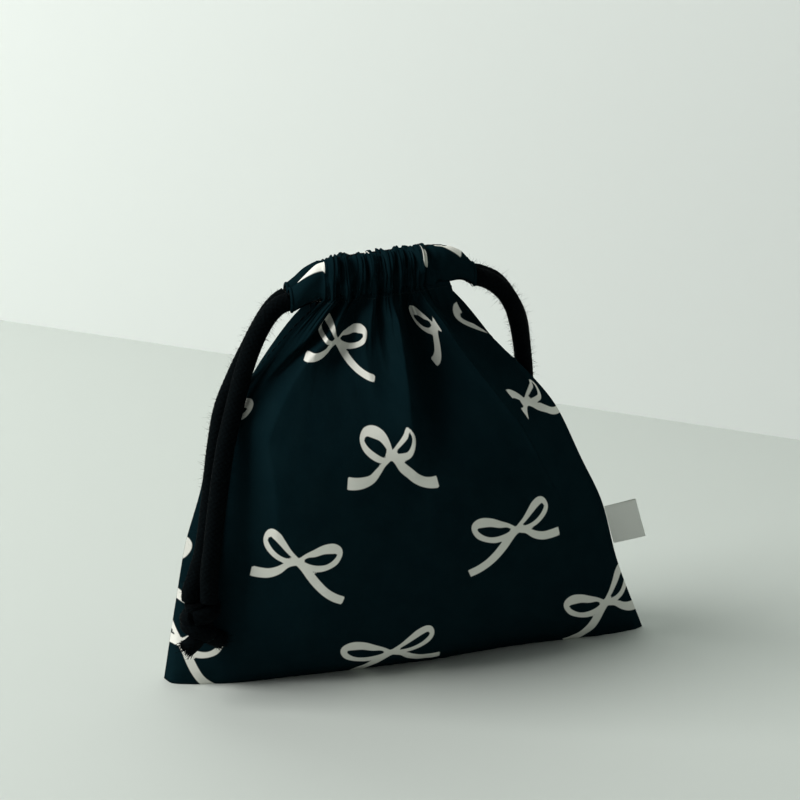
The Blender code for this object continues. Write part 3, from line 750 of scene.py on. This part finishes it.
def wallPoints(panel, t, v):
    side = panel["side"]
    neck = ease((v - drawStart) / (1 - drawStart)) ** drawRate
    left, right = panel["joined"]
    neckHalf = (right - left) / 2
    half = mix(neckHalf, halfWidth, curveValue(widthCurve, v))
    middle = (neckLean + (right + left) / 2) * curveValue(leanCurve, v)
    place = neckX(panel, t)
    along = np.clip(place, left, right) - (right + left) / 2
    edge = np.maximum(np.abs(t) - neckShare, 0) / (1 - neckShare)
    x = middle + half * mix(t, along / neckHalf * (1 - neckSqueeze * (1 - edge)), neck)
    if panel["side"] < 0:
        x = x - curveValue(hemPull, v) * ease((t - 0.70) / 0.30)
    z = stitchHeight * v + (neckTilt * place - shoulderDrop * edge - panel["drop"]) * neck
    swell = (panel["swell"] - footDepth) * curveValue(swellCurve, v) * (1 + footBulge * (1 - v) ** 8)
    bow = 1 - np.abs(t) ** mix(*squareness, v)
    openSlit = slitOpening * ease((z - slitHeight) / (stitchHeight - slitHeight))
    depth = mix(footShape(panel, t), footDepth * bow, ease(v / 0.35)) + swell * bow + openSlit * (1 - bow)
    casingDepth = casingCentre(place) + channelRadius * math.cos(math.radians(stitchAngle)) + clothThickness
    depth = mix(depth, mix(casingDepth, slitOpening, ease(edge)), neck)
    wave, run = gatherWave(panel, place + sway(panel, place, footCloth + v * wallCloth))
    below = (1 - v) / run
    depth += gatherHeight * wave * mix(0.75, 1, ease(below * 2)) * np.exp(-below * below)
    depth += foldHeight(panel, t, v) * (1 - np.abs(t) ** 8)
    depth += creases(panel, t * halfWidth, footCloth + v * wallCloth) * (1 - np.abs(t) ** 24)
    return np.stack([x, side * (halfSeam + depth), z], axis=-1)


def casingPoints(panel, t, r):
    # r runs from 0 at the stitches, up the outside, over and down the inside to 1
    place = neckX(panel, t)
    centre = casingCentre(place)
    low, high = lanes(place)
    stations, lift, lengths = np.array(casingWay, float).T
    angle = np.radians(np.interp(r, lengths / casingCloth, stations))
    height = mix(low, high, np.interp(r, lengths / casingCloth, lift))
    wave, _ = gatherWave(panel, place + sway(panel, place, footCloth + wallCloth + r * casingCloth))
    outward, upward = np.cos(angle), np.sin(angle)
    share = np.where(upward >= 0, 0.42 + 0.58 * outward, 0.5 + 0.5 * outward)
    across, up, uneven = gatherUneven
    wave = wave * (1 + uneven * roughness(place / across, r * casingCloth / up, panel["seed"] + 11))
    out = channelRadius + clothThickness + gatherHeight * wave * share * 0.95
    gathered = ease((neckShare + 0.02 - np.abs(t)) / 0.10)
    fine = creases(panel, t * halfWidth, footCloth + wallCloth + r * casingCloth)
    fading = ease((1.06 - r) / 0.3)
    out += fine * mix(0.25, 1, gathered) * fading
    across, up, rough = casingRough
    out += rough * roughness(place / across, r * casingCloth / up, panel["seed"] + 13) * gathered * fading
    distance = np.maximum(centre + out * outward, 0.00035)
    drop = panel["drop"] * (1 - ease(taper(place)))
    return np.stack([neckLean + place, panel["side"] * distance, height + out * upward - drop], axis=-1)


def panelGrid(panel):
    t = np.linspace(-1, 1, acrossCount)
    foot = np.linspace(0, 1, footRows, endpoint=False)
    wall = np.linspace(0, 1, wallRows)
    casing = np.linspace(0, 1, casingRows)
    footT, footS = np.meshgrid(t, foot, indexing="ij")
    depth = footShape(panel, footT) * footS
    footP = np.stack([footT * halfWidth, panel["side"] * (halfSeam + depth),
                      np.full_like(footT, footLift)], axis=-1)
    wallT, wallV = np.meshgrid(t, wall, indexing="ij")
    wallP = wallPoints(panel, wallT, wallV)
    casingT, casingR = np.meshgrid(t, casing, indexing="ij")
    casingP = casingPoints(panel, casingT, casingR)
    points = np.concatenate([footP, wallP, casingP], axis=1)
    u = np.concatenate([footT, wallT, casingT], axis=1) * halfWidth
    w = np.concatenate([footS * footCloth, footCloth + wallV * wallCloth,
                        footCloth + wallCloth + casingR * casingCloth], axis=1)
    return t, points, u, w


# ---- printed bows: strokes of a ribbon, each point as (across, up, ribbon width) in mm from the knot
upBow = {
    "strokes": [
        [(-0.4, 1.1, 1.9), (-1.6, 4.0, 3.0), (-3.4, 6.3, 4.0), (-6.3, 7.3, 4.2), (-9.6, 7.1, 2.9),
         (-11.3, 4.8, 2.0), (-10.0, 1.9, 2.5), (-6.7, -0.5, 2.7), (-3.2, -1.6, 2.2), (-0.5, -0.5, 1.9)],
        [(0.7, 1.6, 1.3), (2.8, 3.5, 1.6), (4.6, 5.2, 1.8), (6.3, 7.0, 2.0), (7.7, 9.3, 1.4), (9.3, 7.0, 1.6),
         (8.7, 4.0, 1.8), (6.9, 1.0, 2.3), (4.7, -0.1, 2.8), (1.6, -0.3, 2.4)],
        [(-1.0, -0.8, 1.8), (-3.6, -3.0, 1.9), (-5.8, -5.4, 2.6), (-8.2, -7.8, 3.2), (-11.4, -9.0, 4.0),
         (-14.4, -9.4, 4.4), (-17.3, -9.3, 4.6)],
        [(0.6, -0.6, 2.6), (2.0, -1.9, 3.0), (3.9, -4.0, 3.9), (6.3, -5.9, 4.0), (8.7, -7.8, 4.0),
         (11.4, -9.0, 4.0), (14.1, -9.3, 4.2), (16.8, -9.0, 4.4)],
        [(-0.9, 0.1, 3.6), (0.9, 0.1, 3.6)],
    ],
    "cut": (2, 3),
}
sideBow = {
    "strokes": [
        [(-0.8, 1.4, 1.7), (-3.5, 3.7, 2.0), (-6.8, 7.0, 2.7), (-9.1, 9.1, 3.2), (-11.7, 10.3, 3.0),
         (-13.0, 7.8, 1.8), (-11.7, 5.0, 2.1), (-8.8, 2.3, 2.1), (-5.4, 0.5, 2.1), (-1.7, 0.0, 2.0)],
        [(1.0, 0.6, 1.9), (3.3, 2.4, 2.0), (6.2, 3.4, 3.1), (9.3, 4.7, 3.7), (12.5, 5.1, 4.1),
         (14.9, 4.4, 3.1), (15.6, 2.5, 2.2), (14.2, -0.1, 2.5), (11.5, -1.9, 2.4), (8.1, -2.6, 2.7),
         (4.7, -2.0, 2.5), (1.8, -0.6, 2.0)],
        [(-1.2, -0.6, 2.3), (-3.5, -1.4, 2.5), (-6.4, -3.7, 3.4), (-9.5, -5.0, 3.8), (-12.6, -5.2, 4.0),
         (-16.0, -5.0, 4.1)],
        [(1.0, -0.8, 2.6), (3.3, -2.8, 3.1), (5.8, -5.7, 3.4), (8.6, -8.8, 3.4), (11.7, -11.6, 3.3),
         (15.1, -13.7, 3.4), (18.4, -14.9, 3.4)],
        [(-1.2, 0.3, 3.3), (1.2, -0.3, 3.3)],
    ],
    "cut": (2, 3),
}


bowReach = (24, 22)        # mm from the knot within which a bow is drawn
inkShrink = 0.00015
unprinted = 0.01           # the distance given to cloth far from any bow


def strokeDistance(x, y, stroke, cut):
    # signed distance to one ribbon stroke, which ends square where it is cut
    line, _ = smoothRoute(stroke, 0.5)
    best = np.full_like(x, 1e3)
    for a, b in zip(line, line[1:]):
        dx, dy = b[0] - a[0], b[1] - a[1]
        s = np.clip(((x - a[0]) * dx + (y - a[1]) * dy) / (dx * dx + dy * dy), 0, 1)
        gap = np.hypot(x - a[0] - dx * s, y - a[1] - dy * s) - mix(a[2], b[2], s) / 2
        best = np.minimum(best, gap)
    if cut:
        a, b = line[-3], line[-1]
        ahead = np.array([b[0] - a[0], b[1] - a[1]])
        ahead /= np.hypot(*ahead)
        best = np.maximum(best, (x - b[0]) * ahead[0] + (y - b[1]) * ahead[1])
    return best


def inkField(u, w, bows):
    # distance in metres from the edge of the nearest bow, negative inside it
    field = np.full(u.shape, unprinted)
    for design, centreU, centreW, mirror, turn, wide, tall, *limits in bows:
        x = (u * 1000 - centreU) * mirror / wide
        y = (w * 1000 - centreW) / tall
        c, s = math.cos(math.radians(turn)), math.sin(math.radians(turn))
        x, y = x * c + y * s, -x * s + y * c
        near = (np.abs(x) < bowReach[0]) & (np.abs(y) < bowReach[1])
        if not near.any():
            continue
        for n, stroke in enumerate(design["strokes"]):
            gap = strokeDistance(x[near], y[near], stroke, n in design["cut"]) / 1000 + inkShrink
            for left, right, foot in limits:
                beyond = np.maximum(left - u[near] * 1000, u[near] * 1000 - right)
                gap = np.maximum(gap, np.maximum(beyond, foot - w[near] * 1000) / 1000)
            field[near] = np.minimum(field[near], gap)
    return field


# each bow on the flat cloth: design, place of its knot in mm, mirrored or not, turn, width and height, and
# perhaps the left, right and lower limits in mm where a fold or a seam cuts it
frontBows = [
    (upBow, -10.4, 107.2, 1, -2.5, 1.28, 1.12),
    (sideBow, -51.8, 66.4, 1, 0, 1.08, 1.10),
    (sideBow, 44.2, 72.6, -1, 0, 1.30, 1.05),
    (sideBow, 82.2, 28.0, -1, 0, 1.20, 1.12),
    (sideBow, -11.6, 22.9, -1, 0, 1.22, 1.06),
    (sideBow, -92.0, 29.2, 1, -8, 0.95, 1.12),
    (sideBow, -39.5, 145.3, 1, 0, 1.54, 0.82),
    (sideBow, 55.0, 148.0, -1, 0, 0.95, 0.88, (-99, 57.5, 0)),
    (upBow, 78.2, 116.0, 1, 0, 1.25, 0.76, (72, 99, 0)),
    (upBow, 96.8, 142.0, 1, 0, 1.25, 1.30, (81, 99, 140)),
    (sideBow, -103.0, 118.0, 1, 0, 1.20, 1.00, (-99, 99, 112)),
    (sideBow, -114.0, 62.0, 1, 0, 1.30, 1.12),
    (sideBow, -107.0, 196.0, 1, 0, 1.40, 1.40, (-92.5, -81, 172)),
    (sideBow, 48.0, 193.0, 1, 0, 1.40, 1.40, (66, 78, 169)),
    (sideBow, 64.0, 197.0, 1, 0, 1.40, 1.40, (80, 97, 173.5)),
]
backPlaces = [
    (upBow, -88, 26, -1), (sideBow, -88, 105, -1), (upBow, -47, 66, 1), (sideBow, -47, 145, 1),
    (upBow, -6, 26, -1), (sideBow, -6, 105, -1), (upBow, -6, 184, -1), (upBow, 38, 66, 1),
    (sideBow, 38, 145, 1), (upBow, 84, 68, -1),
]
backBows = [(design, across, up, mirror, 0, 1.20, 1.12) for design, across, up, mirror in backPlaces]


def buildPanel(node, panel, bows):
    t, points, u, w = panelGrid(panel)
    ink = inkField(u, w, bows)
    across, rows = u.shape
    key = np.arange(across * rows).reshape(across, rows)
    a, b = key[:-1, :-1], key[1:, :-1]
    c, d = key[1:, 1:], key[:-1, 1:]
    order = (a, b, c, d) if panel["side"] < 0 else (a, d, c, b)
    faces = np.stack(order, axis=-1)
    joins = footRows + wallRows - 1      # the strip between the wall and the casing
    keep = np.ones(a.shape, bool)
    middle = (t[:-1] + t[1:]) / 2
    keep[np.abs(middle) > neckShare, joins] = False
    faces = faces[keep]
    cloth = np.stack([u, w, np.zeros_like(u)], axis=-1)
    piece = meshPiece(f"{node}_cloth", points.reshape(-1, 3), faces, printedCotton, [
        ("cloth", "FLOAT_VECTOR", cloth.reshape(-1, 3)), ("ink", "FLOAT", ink.ravel())])
    dress(piece, "printed_cotton", node)


buildPanel("front_panel", front, frontBows)
buildPanel("back_panel", back, backBows)
print("cloth made")


# ---- hems, stitches and tape
hem = {
    "radius": 0.0006,
    "around": 8,
    "start": 0.80,             # share of the wall's height at the foot of a slit's hem
}
stitch = {
    "long": 0.0022,
    "gap": 0.0008,
    "step": 0.0002,
    "radius": 0.00017,
    "around": 6,
    "rise": 0.00022,
    "sunk": 0.00008,
    "under": 0.985,            # share of the wall's height of the casing's line
    "slit": [(0.945, 0.985), (0.945, 0.83), (0.985, 0.79)],
}


def tubeFaces(rings, around, base=0):
    faces = []
    for k in range(rings - 1):
        low, high = base + k * around, base + (k + 1) * around
        faces += [(low + n, low + (n + 1) % around, high + (n + 1) % around, high + n) for n in range(around)]
    return faces


def roll(name, path):
    around = hem["around"]
    _, sides, overs = frames(path)
    turn = np.arange(around) * math.tau / around
    spokes = sides[:, None] * np.cos(turn)[None, :, None] + overs[:, None] * np.sin(turn)[None, :, None]
    points = (path[:, None] + spokes * hem["radius"]).reshape(-1, 3)
    faces = tubeFaces(len(path), around)
    faces += [tuple(range(around))[::-1], tuple((len(path) - 1) * around + n for n in range(around))]
    ink = np.full(len(points), unprinted)
    dress(meshPiece(name, points, faces, printedCotton, [("ink", "FLOAT", ink)]), "printed_cotton")


def buildHems(name, panel):
    # the folded cloth edge down each slit and round each mouth
    for sign, word in ((-1, "left"), (1, "right")):
        v = np.linspace(hem["start"], 1, 40)
        slit = wallPoints(panel, np.full_like(v, sign), v)
        r = np.linspace(0, 1, 60)
        mouth = casingPoints(panel, np.full_like(r, sign), r)
        roll(f"{name}_{word}_slit_hem", slit)
        roll(f"{name}_{word}_mouth_hem", mouth)


def surfacePath(panel, places):
    # evenly spaced points on the wall along a line of (t, v), with the way out of the cloth at each
    line = np.asarray(places, float)
    shares = np.linspace(0, 1, 200, endpoint=False)[:, None]
    fine = np.vstack([mix(a, b, shares) for a, b in zip(line, line[1:])] + [line[-1:]])
    t, v = fine[:, 0], fine[:, 1]
    points = wallPoints(panel, t, v)
    across = wallPoints(panel, t + 0.002, v) - wallPoints(panel, t - 0.002, v)
    up = wallPoints(panel, t, v + 0.003) - wallPoints(panel, t, v - 0.003)
    out = np.cross(across, up) * -panel["side"]
    out /= np.linalg.norm(out, axis=1)[:, None]
    lengths = np.concatenate([[0], np.cumsum(np.linalg.norm(np.diff(points, axis=0), axis=1))])
    even = np.arange(0, lengths[-1], stitch["step"])
    return [np.stack([np.interp(even, lengths, field[:, k]) for k in range(3)], axis=1)
            for field in (points, out)]


def stitches(name, panel, places):
    points, out = surfacePath(panel, places)
    each = int(stitch["long"] / stitch["step"])
    skip = int((stitch["long"] + stitch["gap"]) / stitch["step"])
    around = stitch["around"]
    vertices, faces = [], []
    for start in range(0, len(points) - each, skip):
        part, away = points[start:start + each + 1], out[start:start + each + 1]
        share = np.linspace(0, 1, len(part))
        lift = stitch["rise"] * (4 * share * (1 - share)) ** 0.5 - stitch["sunk"]
        _, sides, overs = frames(part + away * lift[:, None])
        faces += tubeFaces(len(part), around, len(vertices))
        for k in range(len(part)):
            for n in range(around):
                a = math.tau * n / around
                spoke = (sides[k] * math.cos(a) + overs[k] * math.sin(a)) * stitch["radius"]
                vertices.append(part[k] + away[k] * lift[k] + spoke)
    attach(meshPiece(name, vertices, faces, thread), "root")


for word, panel in (("front", front), ("back", back)):
    buildHems(word, panel)
    stitches(f"{word}_casing_stitches", panel, [(t, stitch["under"]) for t in (-0.99, -0.5, 0, 0.5, 0.99)])
    for sign, side in ((-1, "left"), (1, "right")):
        stitches(f"{word}_{side}_slit_stitches", panel, [(sign * t, v) for t, v in stitch["slit"]])


label = {
    "height": 0.045,           # of the tape's middle above the table
    "wide": 0.0162,
    "reach": 0.0132,
    "tilt": 0.16,
    "swell": 0.00055,
    "sway": 0.0007,
    "cells": (44, 60),
}


def buildLabel():
    # folded tape, both ends sewn into the side seam
    middle, wide, reach = label["height"] / stitchHeight, label["wide"], label["reach"]
    root = wallPoints(front, np.array([1.0]), np.array([middle]))[0]
    above = wallPoints(front, np.array([1.0]), np.array([middle + 0.05]))[0]
    along = np.array([above[0] - root[0], 0, above[2] - root[2]])
    along /= np.linalg.norm(along)
    out = np.array([along[2], 0, -along[0]]) - along * label["tilt"]
    start = np.array([root[0], 0, root[2]]) + out * 0.0003
    down, over = label["cells"]
    s = np.linspace(-1, 1, over)                  # from the front end round the fold to the back end
    turned = np.abs(s)
    reached = reach * np.clip(1 - np.maximum(turned - 0.04, 0) / 0.96, 0, 1)
    fold = np.clip(turned / 0.05, 0, 1) ** 0.5
    bulge = label["swell"] * np.sign(s) * fold * (0.45 + 0.55 * np.clip((1 - turned) / 0.8, 0, 1))
    points, cloth = [], []
    for k, h in enumerate(np.linspace(-0.5, 0.5, down)):
        waver = label["sway"] * math.sin(2.2 * h + 0.6)
        for n in range(over):
            far = reached[n] / reach
            place = start + out * reached[n] + along * (h * wide * (1 - 0.02 * far))
            place = place + np.array([0, bulge[n] + (waver + 0.0005 * far) * far, 0])
            points.append(place)
            cloth.append((s[n] * reach, h * wide, 0))
    faces = []
    for k in range(down - 1):
        for n in range(over - 1):
            a = k * over + n
            faces.append((a, a + 1, a + over + 1, a + over))
    tape = meshPiece("side_label_tape", points, faces, labelTape, [("cloth", "FLOAT_VECTOR", cloth)])
    dress(tape, "label_tape", "side_label")


buildLabel()
print("hems, stitches and tape made")


# ---- floor, wall and light
stage = {
    "corner": [(-0.1633, 0.5846, 0), (0.2695, 0.1991, 0)],     # two points where the wall meets the floor
    "reach": 4,
    "floor": {"Roughness": 0.6, "Base Color": (0.56, 0.60, 0.565, 1)},
    "wall": {"Roughness": 0.9, "Base Color": (0.70, 0.735, 0.71, 1)},
    "world": (0.88, 0.94, 0.92, 1),
    "worldStrength": 0.20,
}


def buildStage():
    start, end = [Vector(p) for p in stage["corner"]]
    along = (end - start).normalized()
    away = Vector((-along.y, along.x, 0)) * stage["reach"]
    up = Vector((0, 0, stage["reach"]))
    middle = (start + end) / 2
    left, right = middle - along * stage["reach"], middle + along * stage["reach"]
    for name, points in (("floor", [left - away, right - away, right, left]),
                         ("wall", [left, right, right + up, left + up])):
        paint, _, _ = makeMaterial(f"{name}_paint", stage[name])
        meshPiece(name, points, [(0, 1, 2, 3)], paint)


buildStage()


def areaLight(name, place, aim, size, power, colour):
    data = bpy.data.lights.new(name, "AREA")
    data.shape = "SQUARE"
    data.size = size
    data.energy = power
    data.color = colour
    light = bpy.data.objects.new(name, data)
    scene.collection.objects.link(light)
    light.location = place
    light.rotation_euler = (Vector(place) - Vector(aim)).to_track_quat("Z", "Y").to_euler()


areaLight("key_light", (-1.8, 0.12, 1.45), (0, 0, 0.08), 1.5, 63, (1, 0.995, 0.98))
world = bpy.data.worlds.new("world")
world.use_nodes = True
world.node_tree.nodes["Background"].inputs["Color"].default_value = stage["world"]
world.node_tree.nodes["Background"].inputs["Strength"].default_value = stage["worldStrength"]
scene.world = world
scene.view_settings.view_transform = "Standard"
print("stage made")
